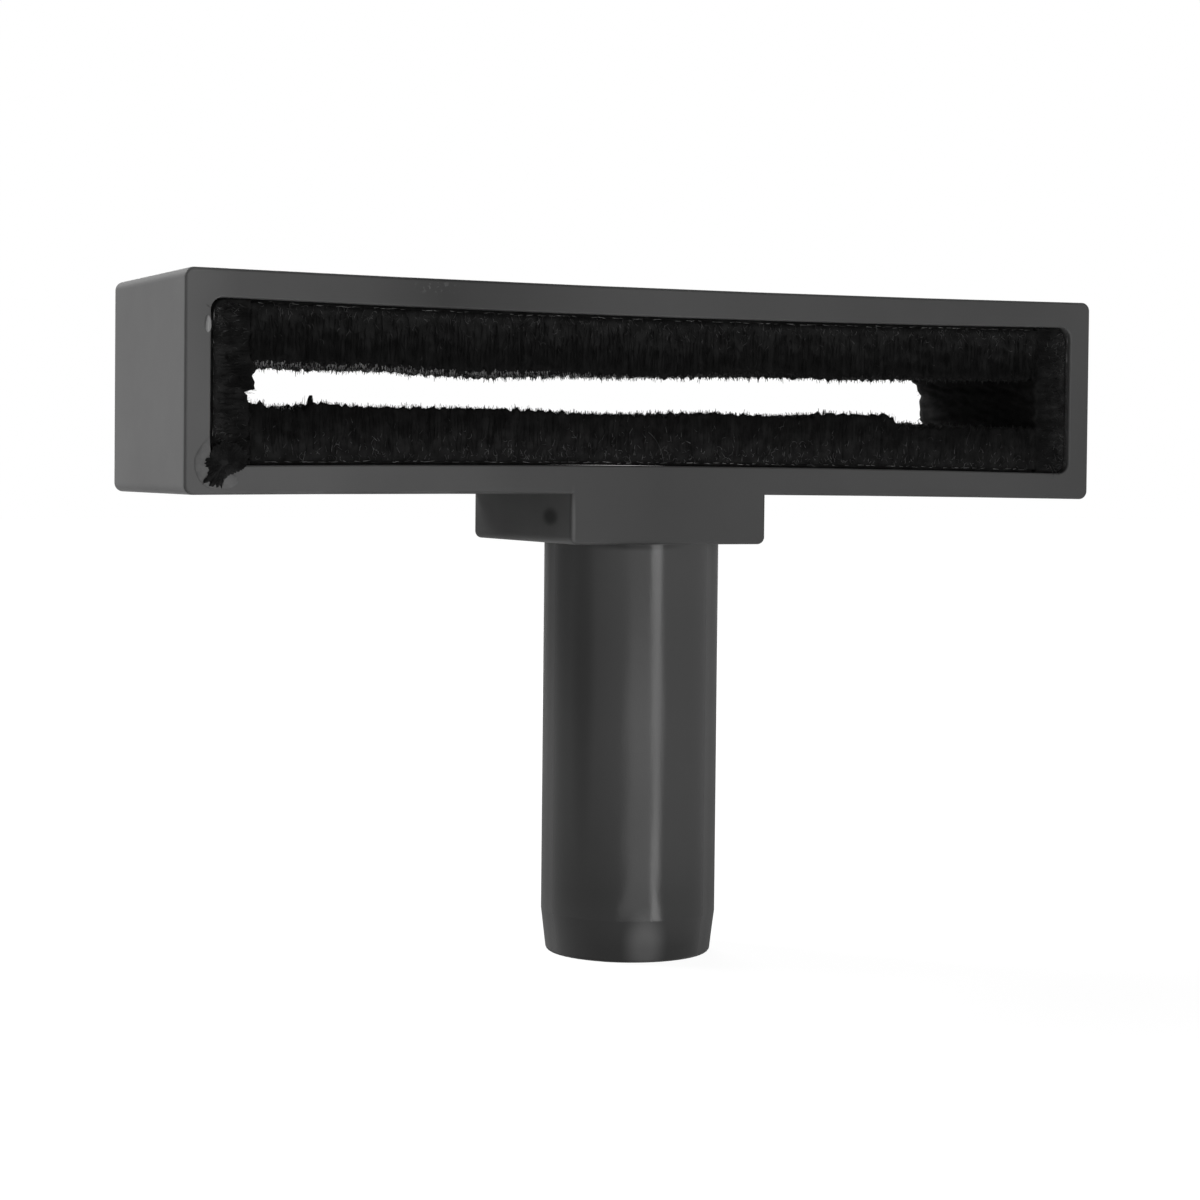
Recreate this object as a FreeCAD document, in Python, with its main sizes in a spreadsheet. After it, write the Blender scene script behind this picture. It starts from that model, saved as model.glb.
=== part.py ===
import FreeCAD
import Part
import Sketcher
import math
import os

# Vacuum cleaner attachment for ceiling fan blades.
# A rectangular ring stands across the end of a round tube, with a square block between them. The
# ring's long walls have drawn in a little towards the middle, as a moulding does when it cools. Four
# strips of black pile line the ring and leave a slot that the fan blade slides through.
# Millimetres. +Z is up, X runs along the ring and -Y is the front. The origin is the centre of the
# tube's open end. The front of the tube is flush with the ring's front face, so that the tube stands
# in front of the ring's middle.

# Driving dimensions
sizes = (
    ("frame_length", 200.8, "ring, end to end"),
    ("frame_depth", 51.4, "ring and block, front to back"),
    ("frame_height", 42.4, "ring, bottom to top at its ends"),
    ("rail_wall", 5.5, "long walls of the ring"),
    ("end_wall", 5.0, "short walls of the ring"),
    ("outline_bow", 0.6, "how far the ring's long sides draw in at the middle"),
    ("opening_bow", 0.8, "how far the opening's long sides draw in at the middle"),
    ("frame_corner", 1.8, "outer corners of the ring"),
    ("opening_corner", 2.4, "corners of the ring's opening"),
    ("rim_edge", 0.6, "rounding of the ring's outer rims"),
    ("opening_edge", 0.4, "rounding of the opening's rims"),
    ("block_width", 43.3, "block, side to side"),
    ("block_height", 9.5, "block, from the tube to the ring"),
    ("block_corner", 1.5, "lower corners of the block"),
    ("block_edge", 0.7, "rounding of the block's front and back edges"),
    ("tube_diameter", 36.0, "outside of the tube"),
    ("tube_length", 84.5, "open end to the block"),
    ("tube_setback", 0.2, "front of the tube behind the front face"),
    ("taper_length", 8.6, "tapered end of the tube"),
    ("taper_drop", 1.05, "radius lost over the taper"),
    ("mouth_edge", 0.9, "rounding of the tube's rim"),
    ("bore_diameter", 32.0, "inside of the tube, a socket for the wand"),
    ("port_diameter", 28.0, "air hole from the tube's bore into the ring, whose edge stops the wand"),
    ("cut_beyond", 1.0, "how far a cut runs past the face that it opens"),
    ("tip_gap", 7.6, "slot between the upper and lower tips"),
    ("end_pile", 7.8, "pile strips on the short walls, wall to tips"),
    ("backing_thickness", 1.0, "woven backing of a pile strip"),
    ("backing_setback", 1.6, "backing behind the ring's rims"),
    ("pile_setback", 0.5, "pile behind the ring's rims"),
    ("tuft_depth", 0.9, "notches between the tufts"),
    ("long_groups", 12, "repeats of the tufts on a long strip"),
    ("short_groups", 2, "repeats of the tufts on a short strip"),
    ("strip_clearance", 0.1, "between one pile strip and the next"),
    ("end_clearance", 0.15, "between a short strip's ends and the opening's long sides"),
    ("corner_clearance", 0.3, "rounding of a strip's corner beyond the opening's"),
    ("air_gap_width", 26.0, "hole through the lower strip, along the ring"),
    ("air_gap_front", 13.0, "hole through the lower strip, in front of the tube's axis"),
    ("air_gap_back", 9.0, "hole through the lower strip, behind the tube's axis"),
)

# One repeat of the ragged tips: how far along it each point lies, and how deep its notch is
tufts = (
    (0.00, 0.0), (0.06, 1.0), (0.12, 0.1), (0.18, 0.7), (0.25, 0.0), (0.33, 0.9), (0.39, 0.3), (0.47, 1.0),
    (0.55, 0.1), (0.62, 0.6), (0.68, 0.2), (0.76, 1.0), (0.83, 0.0), (0.90, 0.7), (0.95, 0.3), (1.00, 0.0),
)

doc = FreeCAD.newDocument("fan_blade_attachment")
sheet = doc.addObject("Spreadsheet::Sheet", "dimensions")
for row, (name, size, meaning) in enumerate(sizes, start=1):
    sheet.set(f"A{row}", name)
    sheet.set(f"B{row}", str(size))
    sheet.set(f"C{row}", meaning)
    sheet.setAlias(f"B{row}", name)
doc.recompute()

# Places, as expressions of the driving dimensions
D = "dimensions."
HALF_RING = f"{D}frame_length / 2"
HALF_BLOCK = f"{D}block_width / 2"
FRONT = f"({D}tube_diameter / 2 + {D}tube_setback)"
BACK = f"({D}frame_depth - {FRONT})"
RING_LOW = f"({D}tube_length + {D}block_height)"
RING_HIGH = f"({RING_LOW} + {D}frame_height)"
FLOOR = f"({RING_LOW} + {D}rail_wall)"
CEILING = f"({RING_HIGH} - {D}rail_wall)"
HALF_OPENING = f"({HALF_RING} - {D}end_wall)"
HALF_LONG = f"({HALF_OPENING} - {D}end_pile - {D}strip_clearance)"
PILE_LENGTH = f"(({CEILING} - {FLOOR} - {D}tip_gap) / 2)"


def bow_radius(half, bow):
    """The radius of an arc over twice the half length whose middle stands off by the bow."""
    return f"(({half} * {half} + {bow} * {bow}) / ({bow} * 2))"


OUTLINE_RADIUS = bow_radius(HALF_RING, f"{D}outline_bow")
OPENING_RADIUS = bow_radius(HALF_OPENING, f"{D}opening_bow")
FLOOR_CENTRE = (-1, f"({OPENING_RADIUS} - {D}opening_bow - {FLOOR})")
CEILING_CENTRE = (1, f"({OPENING_RADIUS} - {D}opening_bow + {CEILING})")


def value(name):
    """A driving dimension as a number."""
    return float(sheet.get(name))


# The same places as numbers, which pick out the edges to round
TOUCH = 0.01
front_y = -(value("tube_diameter") / 2 + value("tube_setback"))
back_y = front_y + value("frame_depth")
ring_low = value("tube_length") + value("block_height")
ring_high = ring_low + value("frame_height")
half_ring = value("frame_length") / 2


def new_body(name):
    """An empty body whose label is its name."""
    body = doc.addObject("PartDesign::Body", name)
    body.Label = name
    return body


def new_sketch(body, name, role, offset="0"):
    """A sketch on one of the body's origin planes, moved along the plane's normal by the offset."""
    plane = [feature for feature in body.Origin.OriginFeatures if feature.Role == role][0]
    sketch = body.newObject("Sketcher::SketchObject", name)
    sketch.AttachmentSupport = (plane, [""])
    sketch.MapMode = "FlatFace"
    sketch.setExpression(".AttachmentOffset.Base.z", offset)
    return sketch


def polygon(sketch, corners, bends=None):
    """A closed outline. A corner is (side, distance, side, distance): its distances from the origin
    along the sketch's x and y, as expressions, and the side of the origin, +1 or -1, that it is on.
    The distance "0" puts the corner on the axis. bends turns some sides into arcs: the side that
    starts at corner number n has bends[n] = (side, distance, radius), for a centre on the y axis,
    and its corners take their place along y from the arc."""
    bends = bends or {}
    count = len(corners)

    def amount(text):
        """What an expression gives in millimetres."""
        return float(sketch.evalExpression(text))

    rough = [FreeCAD.Vector(x_side * amount(x_text), y_side * amount(y_text), 0)
             for x_side, x_text, y_side, y_text in corners]
    first, last = {}, {}
    for index in range(count):
        start, end = rough[index], rough[(index + 1) % count]
        first[index], last[index] = 1, 2
        if index not in bends:
            sketch.addGeometry(Part.LineSegment(start, end), False)
            continue
        side, distance, radius = bends[index]
        circle = Part.Circle(FreeCAD.Vector(0, side * amount(distance), 0), FreeCAD.Vector(0, 0, 1), amount(radius))
        spread = math.asin(abs(start.x) / amount(radius))
        middle = -side * math.pi / 2
        sketch.addGeometry(Part.ArcOfCircle(circle, middle - spread, middle + spread), False)
        if (end.x - start.x) * side < 0:
            first[index], last[index] = 2, 1
    for index in range(count):
        after = (index + 1) % count
        sketch.addConstraint(Sketcher.Constraint("Coincident", index, last[index], after, first[after]))
    for index, (x_side, x_text, y_side, y_text) in enumerate(corners):
        for kind, axis, side, text in (("DistanceX", -2, x_side, x_text), ("DistanceY", -1, y_side, y_text)):
            if kind == "DistanceY" and (index in bends or (index - 1) % count in bends):
                continue
            if text == "0":
                sketch.addConstraint(Sketcher.Constraint("PointOnObject", index, first[index], axis))
                continue
            ends = (-1, 1, index, first[index]) if side > 0 else (index, first[index], -1, 1)
            number = sketch.addConstraint(Sketcher.Constraint(kind, *ends, amount(text)))
            sketch.setExpression(f"Constraints[{number}]", text)
    for index, (side, distance, radius) in bends.items():
        sketch.addConstraint(Sketcher.Constraint("PointOnObject", index, 3, -2))
        ends = (-1, 1, index, 3) if side > 0 else (index, 3, -1, 1)
        number = sketch.addConstraint(Sketcher.Constraint("DistanceY", *ends, amount(distance)))
        sketch.setExpression(f"Constraints[{number}]", distance)
        number = sketch.addConstraint(Sketcher.Constraint("Radius", index, amount(radius)))
        sketch.setExpression(f"Constraints[{number}]", radius)


def rectangle(sketch, left, right, low, high):
    """A rectangle whose four sides are (side, distance) pairs."""
    polygon(sketch, ((*left, *low), (*right, *low), (*right, *high), (*left, *high)))


def bowed_rectangle(sketch, half, low, high, radius, bow):
    """A rectangle across the y axis whose long sides are arcs that draw in at the middle."""
    corners = ((-1, half, 1, low), (1, half, 1, low), (1, half, 1, high), (-1, half, 1, high))
    polygon(sketch, corners, {
        0: (-1, f"({radius} - {bow} - {low})", radius),
        2: (1, f"({radius} - {bow} + {high})", radius),
    })


def pad(body, name, sketch, length):
    """Material from the sketch, along its plane's normal."""
    feature = body.newObject("PartDesign::Pad", name)
    feature.Profile = sketch
    feature.setExpression("Length", length)
    doc.recompute()
    return feature


def pocket(body, name, sketch):
    """A cut from the sketch, along its plane's normal and through everything."""
    before = body.Shape.Volume
    feature = body.newObject("PartDesign::Pocket", name)
    feature.Profile = sketch
    feature.Type = "ThroughAll"
    feature.Reversed = True
    doc.recompute()
    if feature.Shape.Volume > before - 1:
        raise RuntimeError(f"{name} cuts nothing")
    return feature


def fillet(body, name, base, radius, chosen):
    """Rounding of those edges of the base whose bounding box is chosen."""
    edges = [f"Edge{number}" for number, edge in enumerate(base.Shape.Edges, start=1) if chosen(edge.BoundBox)]
    if not edges:
        raise RuntimeError(f"{name} finds no edge")
    feature = body.newObject("PartDesign::Fillet", name)
    feature.Base = (base, edges)
    feature.setExpression("Radius", radius)
    doc.recompute()
    return feature


def runs_through(box):
    """True for an edge along the whole depth of the ring."""
    return box.YLength > value("frame_depth") - TOUCH


def on_a_rim(box):
    """True for an edge in the front or the back plane."""
    at_front = abs(box.YMax - front_y) < TOUCH
    at_back = abs(box.YMin - back_y) < TOUCH
    return at_front or at_back


def on_the_outline(box):
    """True for an edge that reaches the ring's outer faces."""
    at_an_end = max(abs(box.XMin), abs(box.XMax)) > half_ring - TOUCH
    near = value("outline_bow") + TOUCH
    return at_an_end or box.ZMin < ring_low + near or box.ZMax > ring_high - near


# Ring: a rounded rectangle with a rounded opening, and soft edges on both rims
ring = new_body("ring_form")
sketch = new_sketch(ring, "ring_outline", "XZ_Plane", f"-{BACK}")
bowed_rectangle(sketch, HALF_RING, RING_LOW, RING_HIGH, OUTLINE_RADIUS, f"{D}outline_bow")
feature = pad(ring, "ring_pad", sketch, f"{D}frame_depth")
feature = fillet(ring, "ring_corners", feature, f"{D}frame_corner", runs_through)
sketch = new_sketch(ring, "opening_outline", "XZ_Plane", f"-{BACK}")
bowed_rectangle(sketch, HALF_OPENING, FLOOR, CEILING, OPENING_RADIUS, f"{D}opening_bow")
feature = pocket(ring, "opening", sketch)
half_opening = half_ring - value("end_wall")
feature = fillet(ring, "opening_corners", feature, f"{D}opening_corner",
                 lambda box: runs_through(box) and abs(abs(box.Center.x) - half_opening) < TOUCH)
feature = fillet(ring, "outer_rims", feature, f"{D}rim_edge",
                 lambda box: on_a_rim(box) and on_the_outline(box))
fillet(ring, "opening_rims", feature, f"{D}opening_edge",
       lambda box: on_a_rim(box) and not on_the_outline(box))

# Block: as deep as the ring, and its top is inside the ring's lower wall
block = new_body("block_form")
sketch = new_sketch(block, "block_outline", "XZ_Plane", f"-{BACK}")
rectangle(sketch, (-1, HALF_BLOCK), (1, HALF_BLOCK), (1, f"{D}tube_length"), (1, f"{RING_LOW} + {D}rail_wall / 2"))
feature = pad(block, "block_pad", sketch, f"{D}frame_depth")
feature = fillet(block, "block_corners", feature, f"{D}block_corner",
                 lambda box: runs_through(box) and box.ZMin < value("tube_length") + TOUCH)
fillet(block, "block_rims", feature, f"{D}block_edge",
       lambda box: on_a_rim(box) and box.Center.z < ring_low + value("rail_wall") / 2 - TOUCH)

# Tube: a taper and a rounded rim at its open end, and its top is inside the block
tube = new_body("tube_form")
sketch = new_sketch(tube, "tube_profile", "XZ_Plane")
polygon(sketch, (
    (1, "0", 1, "0"),
    (1, f"{D}tube_diameter / 2 - {D}taper_drop", 1, "0"),
    (1, f"{D}tube_diameter / 2", 1, f"{D}taper_length"),
    (1, f"{D}tube_diameter / 2", 1, RING_LOW),
    (1, "0", 1, RING_LOW),
))
turned = tube.newObject("PartDesign::Revolution", "tube_turned")
turned.Profile = sketch
turned.ReferenceAxis = (sketch, ["V_Axis"])
turned.Angle = 360
doc.recompute()
fillet(tube, "tube_mouth", turned, f"{D}mouth_edge", lambda box: box.ZMax < TOUCH)

# Air path: the tube's bore up to the block, then the narrower port through block and ring
bore = doc.addObject("Part::Cylinder", "bore_form")
bore.setExpression("Radius", f"{D}bore_diameter / 2")
bore.setExpression("Height", f"{D}tube_length + {D}cut_beyond")
bore.setExpression(".Placement.Base.z", f"-{D}cut_beyond")
port = doc.addObject("Part::Cylinder", "port_form")
port.setExpression("Radius", f"{D}port_diameter / 2")
port.setExpression("Height", f"{FLOOR} - {D}tube_length + {D}cut_beyond * 2")
port.setExpression(".Placement.Base.z", f"{D}tube_length - {D}cut_beyond")

# Housing: ring, block and tube are one moulding, hollowed by the air path
solid = doc.addObject("Part::MultiFuse", "solid_form")
solid.Shapes = [ring, block, tube]
solid.Refine = True
air = doc.addObject("Part::MultiFuse", "air_form")
air.Shapes = [bore, port]
housing = doc.addObject("Part::Cut", "housing")
housing.Base = solid
housing.Tool = air
housing.Label = "housing"
doc.recompute()


# Pile strips: a thin woven backing glued to each wall of the opening, and the pile on it. The short
# strips reach from the floor to the ceiling and the long ones run between their tips, with a backing
# that follows the bowed wall.
CUT = f"({D}opening_corner * 0.6 + {D}corner_clearance)"
BACKING = f"{D}backing_thickness"
SPLAY = f"({CUT} - {BACKING})"
long_wall = {
    "tip": PILE_LENGTH,
    "backing": ((0, "0", "0"), (1, "0", "0"), (1, "0", BACKING), (0, "0", BACKING)),
    "pile": ((0, "0", BACKING), (1, "0", BACKING), (1, "0", PILE_LENGTH), (0, "0", PILE_LENGTH)),
    "repeat": f"({HALF_LONG} * 2 / {D}long_groups)",
    "groups": f"{D}long_groups",
    "direction": "H_Axis",
    "bends": {"backing": {0: "0", 2: BACKING}, "pile": {0: BACKING}},
}
short_wall = {
    "tip": f"{D}end_pile",
    "backing": ((0, CUT, "0"), (1, CUT, "0"), (1, SPLAY, BACKING), (0, SPLAY, BACKING)),
    "pile": ((0, SPLAY, BACKING), (0, "0", CUT), (0, "0", f"{D}end_pile"), (1, "0", f"{D}end_pile"),
             (1, "0", CUT), (1, SPLAY, BACKING)),
    "repeat": f"(({CEILING} - {FLOOR} - {D}end_clearance * 2) / {D}short_groups)",
    "groups": f"{D}short_groups",
    "direction": "V_Axis",
    "bends": {"backing": {}, "pile": {}},
}


def strip(name, wall, side, root, away):
    """A pile strip on one wall of the opening. root is the wall's distance from the origin, and away
    is the sign with which a height above the wall adds to it."""

    def corner(end, inset, height):
        """A point of the outline: how far in from one of the strip's ends, and how far off the wall."""
        across = (side, f"({root} {away} {height})")
        if wall is long_wall:
            return ((-1, 1)[end], f"({HALF_LONG} - {inset})", *across)
        inset = f"({inset} + {D}end_clearance)"
        return (*across, 1, (f"({FLOOR} + {inset})", f"({CEILING} - {inset})")[end])

    body = new_body(name)
    for part in ("backing", "pile"):
        setback = f"{D}{part}_setback"
        outline = new_sketch(body, f"{name}_{part}_outline", "XZ_Plane", f"-({BACK} - {setback})")
        centre = FLOOR_CENTRE if away == "+" else CEILING_CENTRE
        bends = {index: (*centre, f"({OPENING_RADIUS} + {height})")
                 for index, height in wall["bends"][part].items()}
        polygon(outline, [corner(*point) for point in wall[part]], bends)
        pad(body, f"{name}_{part}", outline, f"{D}frame_depth - {setback} * 2")

    notches = new_sketch(body, f"{name}_tufts_outline", "XZ_Plane", f"-{BACK}")
    tips = [corner(0, f"{wall['repeat']} * {along}", f"({wall['tip']} - {D}tuft_depth * {notch})")
            for along, notch in tufts]
    beyond = f"({wall['tip']} + {D}cut_beyond)"
    polygon(notches, (*tips, corner(0, wall["repeat"], beyond), corner(0, "0", beyond)))
    cut = pocket(body, f"{name}_tufts", notches)
    pattern = body.newObject("PartDesign::LinearPattern", f"{name}_all_tufts")
    pattern.Originals = [cut]
    pattern.Direction = (notches, [wall["direction"]])
    pattern.setExpression("Length", f"{wall['repeat']} * ({wall['groups']} - 1)")
    pattern.setExpression("Occurrences", wall["groups"])
    body.Tip = pattern
    doc.recompute()
    if body.Shape.Volume > cut.Shape.Volume - 1:
        raise RuntimeError(f"{name} has one group of tufts only")
    return body


brushes = [
    strip("brush_top", long_wall, 1, CEILING, "-"),
    strip("brush_bottom", long_wall, 1, FLOOR, "+"),
    strip("brush_left", short_wall, -1, HALF_OPENING, "-"),
    strip("brush_right", short_wall, 1, HALF_OPENING, "-"),
]

# The lower strip has a gap over the port, behind its front tufts
lower = brushes[1]
sketch = new_sketch(lower, "air_gap_outline", "XY_Plane", RING_LOW)
half_gap = f"{D}air_gap_width / 2"
rectangle(sketch, (-1, half_gap), (1, half_gap), (-1, f"{D}air_gap_front"), (1, f"{D}air_gap_back"))
pocket(lower, "air_gap", sketch)

# Everything must have worked before anything is written
doc.recompute()
for item in doc.Objects:
    if "Invalid" in item.State or "Error" in item.State:
        raise RuntimeError(f"{item.Name} failed: {item.State}")
pieces = [housing] + brushes
for piece in pieces:
    if piece.Shape.isNull() or not piece.Shape.isValid() or len(piece.Shape.Solids) != 1:
        raise RuntimeError(f"{piece.Label} isn't one valid solid")

os.makedirs("parts", exist_ok=True)
for piece in pieces:
    piece.Shape.exportStep(f"parts/{piece.Label}.step")
    size = piece.Shape.BoundBox
    print(f"{piece.Label}: {size.XLength:.2f} x {size.YLength:.2f} x {size.ZLength:.2f} mm, "
          f"{piece.Shape.Volume / 1000:.1f} cm3, {len(piece.Shape.Faces)} faces")
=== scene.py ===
import math
import bpy
import numpy as np
from mathutils import Matrix, Vector


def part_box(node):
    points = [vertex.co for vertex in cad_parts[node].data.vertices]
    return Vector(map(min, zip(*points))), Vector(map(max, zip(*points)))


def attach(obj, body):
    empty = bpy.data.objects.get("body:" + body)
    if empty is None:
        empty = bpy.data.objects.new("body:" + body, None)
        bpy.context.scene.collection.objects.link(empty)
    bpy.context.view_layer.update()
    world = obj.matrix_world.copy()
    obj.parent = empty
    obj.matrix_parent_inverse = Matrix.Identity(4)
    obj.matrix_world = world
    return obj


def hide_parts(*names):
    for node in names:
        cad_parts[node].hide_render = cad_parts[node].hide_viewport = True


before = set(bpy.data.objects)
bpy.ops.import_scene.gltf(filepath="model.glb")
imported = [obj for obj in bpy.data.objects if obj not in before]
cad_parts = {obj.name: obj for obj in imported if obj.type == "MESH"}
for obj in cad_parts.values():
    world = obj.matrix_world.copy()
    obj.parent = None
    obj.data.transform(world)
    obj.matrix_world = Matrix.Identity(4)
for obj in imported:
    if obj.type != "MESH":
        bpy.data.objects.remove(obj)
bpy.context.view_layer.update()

MM = 0.001
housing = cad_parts["housing"]

# Camera: where the photograph was taken from, in millimetres and degrees
CAMERA_PLACE = (-239.5, -506.1, 100.3)
CAMERA_YAW = 24.66
CAMERA_PITCH = -1.51
CAMERA_ROLL = 0.578
FOCAL_PIXELS = 2706.0
IMAGE_PIXELS = 1200
CENTRE_ROW = 536.6
SENSOR_WIDTH = 36.0
# Nearest and farthest distance that it sees, in metres
CLIP_START = 0.01
CLIP_END = 50.0


def make_camera():
    """The photograph's viewpoint. Yaw turns the view from +Y towards +X."""
    data = bpy.data.cameras.new("camera")
    data.sensor_fit = "HORIZONTAL"
    data.sensor_width = SENSOR_WIDTH
    data.lens = FOCAL_PIXELS / IMAGE_PIXELS * SENSOR_WIDTH
    data.shift_y = (CENTRE_ROW - IMAGE_PIXELS / 2) / IMAGE_PIXELS
    data.clip_start = CLIP_START
    data.clip_end = CLIP_END
    camera = bpy.data.objects.new("camera", data)
    bpy.context.scene.collection.objects.link(camera)
    turn = Matrix.Rotation(math.radians(-CAMERA_YAW), 4, "Z")
    tilt = Matrix.Rotation(math.radians(90 + CAMERA_PITCH), 4, "X")
    roll = Matrix.Rotation(math.radians(CAMERA_ROLL), 4, "Z")
    camera.matrix_world = Matrix.Translation(Vector(CAMERA_PLACE) * MM) @ turn @ tilt @ roll
    bpy.context.scene.camera = camera


# Shader nodes

def add_node(tree, kind, inputs=None, **settings):
    """A node with its settings, and its inputs set to values or linked to sockets."""
    made = tree.nodes.new(kind)
    for key, setting in settings.items():
        setattr(made, key, setting)
    for key, entry in (inputs or {}).items():
        if isinstance(entry, bpy.types.NodeSocket):
            tree.links.new(entry, made.inputs[key])
        else:
            made.inputs[key].default_value = entry
    return made


def maths(tree, operation, *entries, clamp=False):
    """The output of a Math node for one to three entries."""
    made = add_node(tree, "ShaderNodeMath", dict(enumerate(entries)), operation=operation, use_clamp=clamp)
    return made.outputs[0]


def mapped(tree, entry, low, high, new_low=0.0, new_high=1.0):
    """entry brought from low..high to new_low..new_high with soft ends."""
    made = add_node(tree, "ShaderNodeMapRange", {
        "Value": entry, "From Min": low, "From Max": high, "To Min": new_low, "To Max": new_high,
    }, interpolation_type="SMOOTHSTEP")
    return made.outputs["Result"]


def tone_along(tree, entry, tones):
    """The tone at an entry, from pairs of a place in millimetres and a tone, as far to each side of 0."""
    half = tones[-1][0] * MM
    share = add_node(tree, "ShaderNodeMapRange", {"Value": entry, "From Min": -half, "From Max": half})
    ramp = add_node(tree, "ShaderNodeValToRGB", {"Fac": share.outputs["Result"]})
    stops = ramp.color_ramp.elements
    while len(stops) < len(tones):
        stops.new(0.5)
    for stop, (place, tone) in zip(stops, tones):
        stop.position = 0.5 + place * MM / (2 * half)
        stop.color = grey(tone)
    return ramp.outputs["Color"]


def noise(tree, place, scale, detail=2.0):
    """The output of a noise with a number of cells a metre."""
    made = add_node(tree, "ShaderNodeTexNoise", {"Vector": place, "Scale": scale, "Detail": detail})
    return made.outputs[0]


# Share of a spot's reach that has the full change
SPOT_CORE = 0.2


def near_point(tree, place, point, size):
    """1 at a point, falling softly to 0 at the given distances along the three axes."""
    offset = add_node(tree, "ShaderNodeVectorMath", {0: place, 1: point}, operation="SUBTRACT")
    scaled = add_node(tree, "ShaderNodeVectorMath", {0: offset.outputs[0], 1: size}, operation="DIVIDE")
    away = add_node(tree, "ShaderNodeVectorMath", {0: scaled.outputs[0]}, operation="LENGTH")
    return mapped(tree, away.outputs["Value"], SPOT_CORE, 1.0, 1.0, 0.0)


def empty_material(name):
    """A material with an output node only."""
    material = bpy.data.materials.new(name)
    material.use_nodes = True
    material.node_tree.nodes.clear()
    output = add_node(material.node_tree, "ShaderNodeOutputMaterial")
    return material, material.node_tree, output


def grey(level):
    """A neutral colour."""
    return (level, level, level, 1.0)


def mixed(tree, share, first, second):
    """A colour that goes from one entry to another as a share goes from 0 to 1."""
    return add_node(tree, "ShaderNodeMixRGB", {0: share, 1: first, 2: second}).outputs[0]


# Materials

# Stretches of a noise's values, near its middle, that a tone runs through
WIDE_SPAN = (0.3, 0.7)
TUFT_SPAN = (0.35, 0.7)
SCRATCH_SPAN = (0.56, 0.68)


def toned(tree, colour, tone):
    """A colour made paler or darker by a factor."""
    return add_node(tree, "ShaderNodeVectorMath", {0: colour, 3: tone}, operation="SCALE").outputs[0]


def finish_surface(tree, output, colour, roughness, shine, height, strength, depth):
    """The material's surface, with a fine relief of a strength and a depth in metres."""
    relief = add_node(tree, "ShaderNodeBump", {"Strength": strength, "Distance": depth, "Height": height})
    shader = add_node(tree, "ShaderNodeBsdfPrincipled", {
        "Base Color": colour, "Roughness": roughness, "Specular IOR Level": shine,
        "Normal": relief.outputs[0],
    })
    tree.links.new(shader.outputs[0], output.inputs["Surface"])


# Spots on the plastic, in metres: the middle, the reach along the three axes, and how much paler or darker.
# All but the mould mark and the scuffs are painted highlights, light, shade and shadow
MOULD_MARK = ((-0.02165, -0.0075, 0.0899), (0.004, 0.006, 0.0028), -0.25)
# painted shade on the rear of the block's side
BLOCK_REAR_PAINTED_SHADE = ((-0.0217, 0.033, 0.085), (0.003, 0.032, 0.014), -0.85)
# painted highlight along the block's front left edge
BLOCK_EDGE_PAINTED_HIGHLIGHT = ((-0.0214, -0.018, 0.0885), (0.0008, 0.0008, 0.009), 1.3)
# painted shadow under the block where the tube joins it
TUBE_JOIN_PAINTED_SHADOW = ((-0.007, -0.0165, 0.0843), (0.013, 0.012, 0.0013), -0.5)
# painted shade down the tube's left side
TUBE_SIDE_PAINTED_SHADE = ((-0.0151, -0.0098, 0.06), (0.0028, 0.0042, 0.05), -0.3)
# painted light on the lowest part of the tube
MOUTH_PAINTED_LIGHT = ((0.0, 0.0, 0.0), (0.09, 0.09, 0.015), 0.45)
# painted highlight on the front of the taper at the tube's mouth
TAPER_PAINTED_HIGHLIGHT = ((-0.0041, -0.0169, 0.0035), (0.0053, 0.005, 0.0088), 2.0)
MARK_AND_PAINTED_SPOTS = (MOULD_MARK, BLOCK_REAR_PAINTED_SHADE, BLOCK_EDGE_PAINTED_HIGHLIGHT, TUBE_JOIN_PAINTED_SHADOW, TUBE_SIDE_PAINTED_SHADE, MOUTH_PAINTED_LIGHT, TAPER_PAINTED_HIGHLIGHT)
SCUFFS = ((-0.0506, -0.0182, 0.1343), (0.0062, 0.002, 0.0019), 1.1)
SCUFFS_PER_METRE = 1100.0
# What the mould mark adds to the roughness, and the block's side: where it is, and its share of that
MATT_ROUGHNESS = 0.4
BLOCK_SIDE = ((-0.022, 0.0075, 0.0905), (0.003, 0.05, 0.012))
BLOCK_SIDE_SHARE = 0.35
# Painted light and shade on the front of the plastic, paler at the left end and darker towards the middle:
# its tone at places along the ring in millimetres, on the top rail and below
TOP_PAINTED_TONES = (
    (-100, 1.03), (-94, 0.85), (-90, 0.7), (-82, 0.68), (-65, 0.56), (-49, 0.31), (-33, 0.41), (-17, 0.62),
    (0, 0.69), (16, 0.61), (51, 0.67), (69, 0.69), (87, 0.75), (100, 0.75),
)
LOW_PAINTED_TONES = (
    (-100, 1.03), (-95, 0.99), (-90, 0.86), (-72, 0.82), (-65, 0.75), (-49, 0.74), (-41, 0.64), (-33, 0.51),
    (-17, 0.47), (-2, 0.45), (8, 0.5), (25, 0.57), (51, 0.65), (66, 0.76), (100, 0.74),
)
# In metres: heights where the low painted tones give way to the top ones, depths where the front's painted
# tones end, and heights where the tube ends
LOW_TO_TOP = (0.108, 0.126)
FRONT_SKIN = (-0.0179, -0.0165)
TUBE_END = (0.0842, 0.0848)
# Painted light on all but the front, paler towards the left end: two places along the ring in metres, and
# the tone at each
SIDE_PAINTED_TONES = (-0.1, -0.04, 1.28, 0.93)
# How much darker the tube is
TUBE_TONE = -0.3
SHELL_COLOUR = 0.0645
SHELL_SHADE = 0.054
CLOUDS_PER_METRE = 22.0
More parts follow.
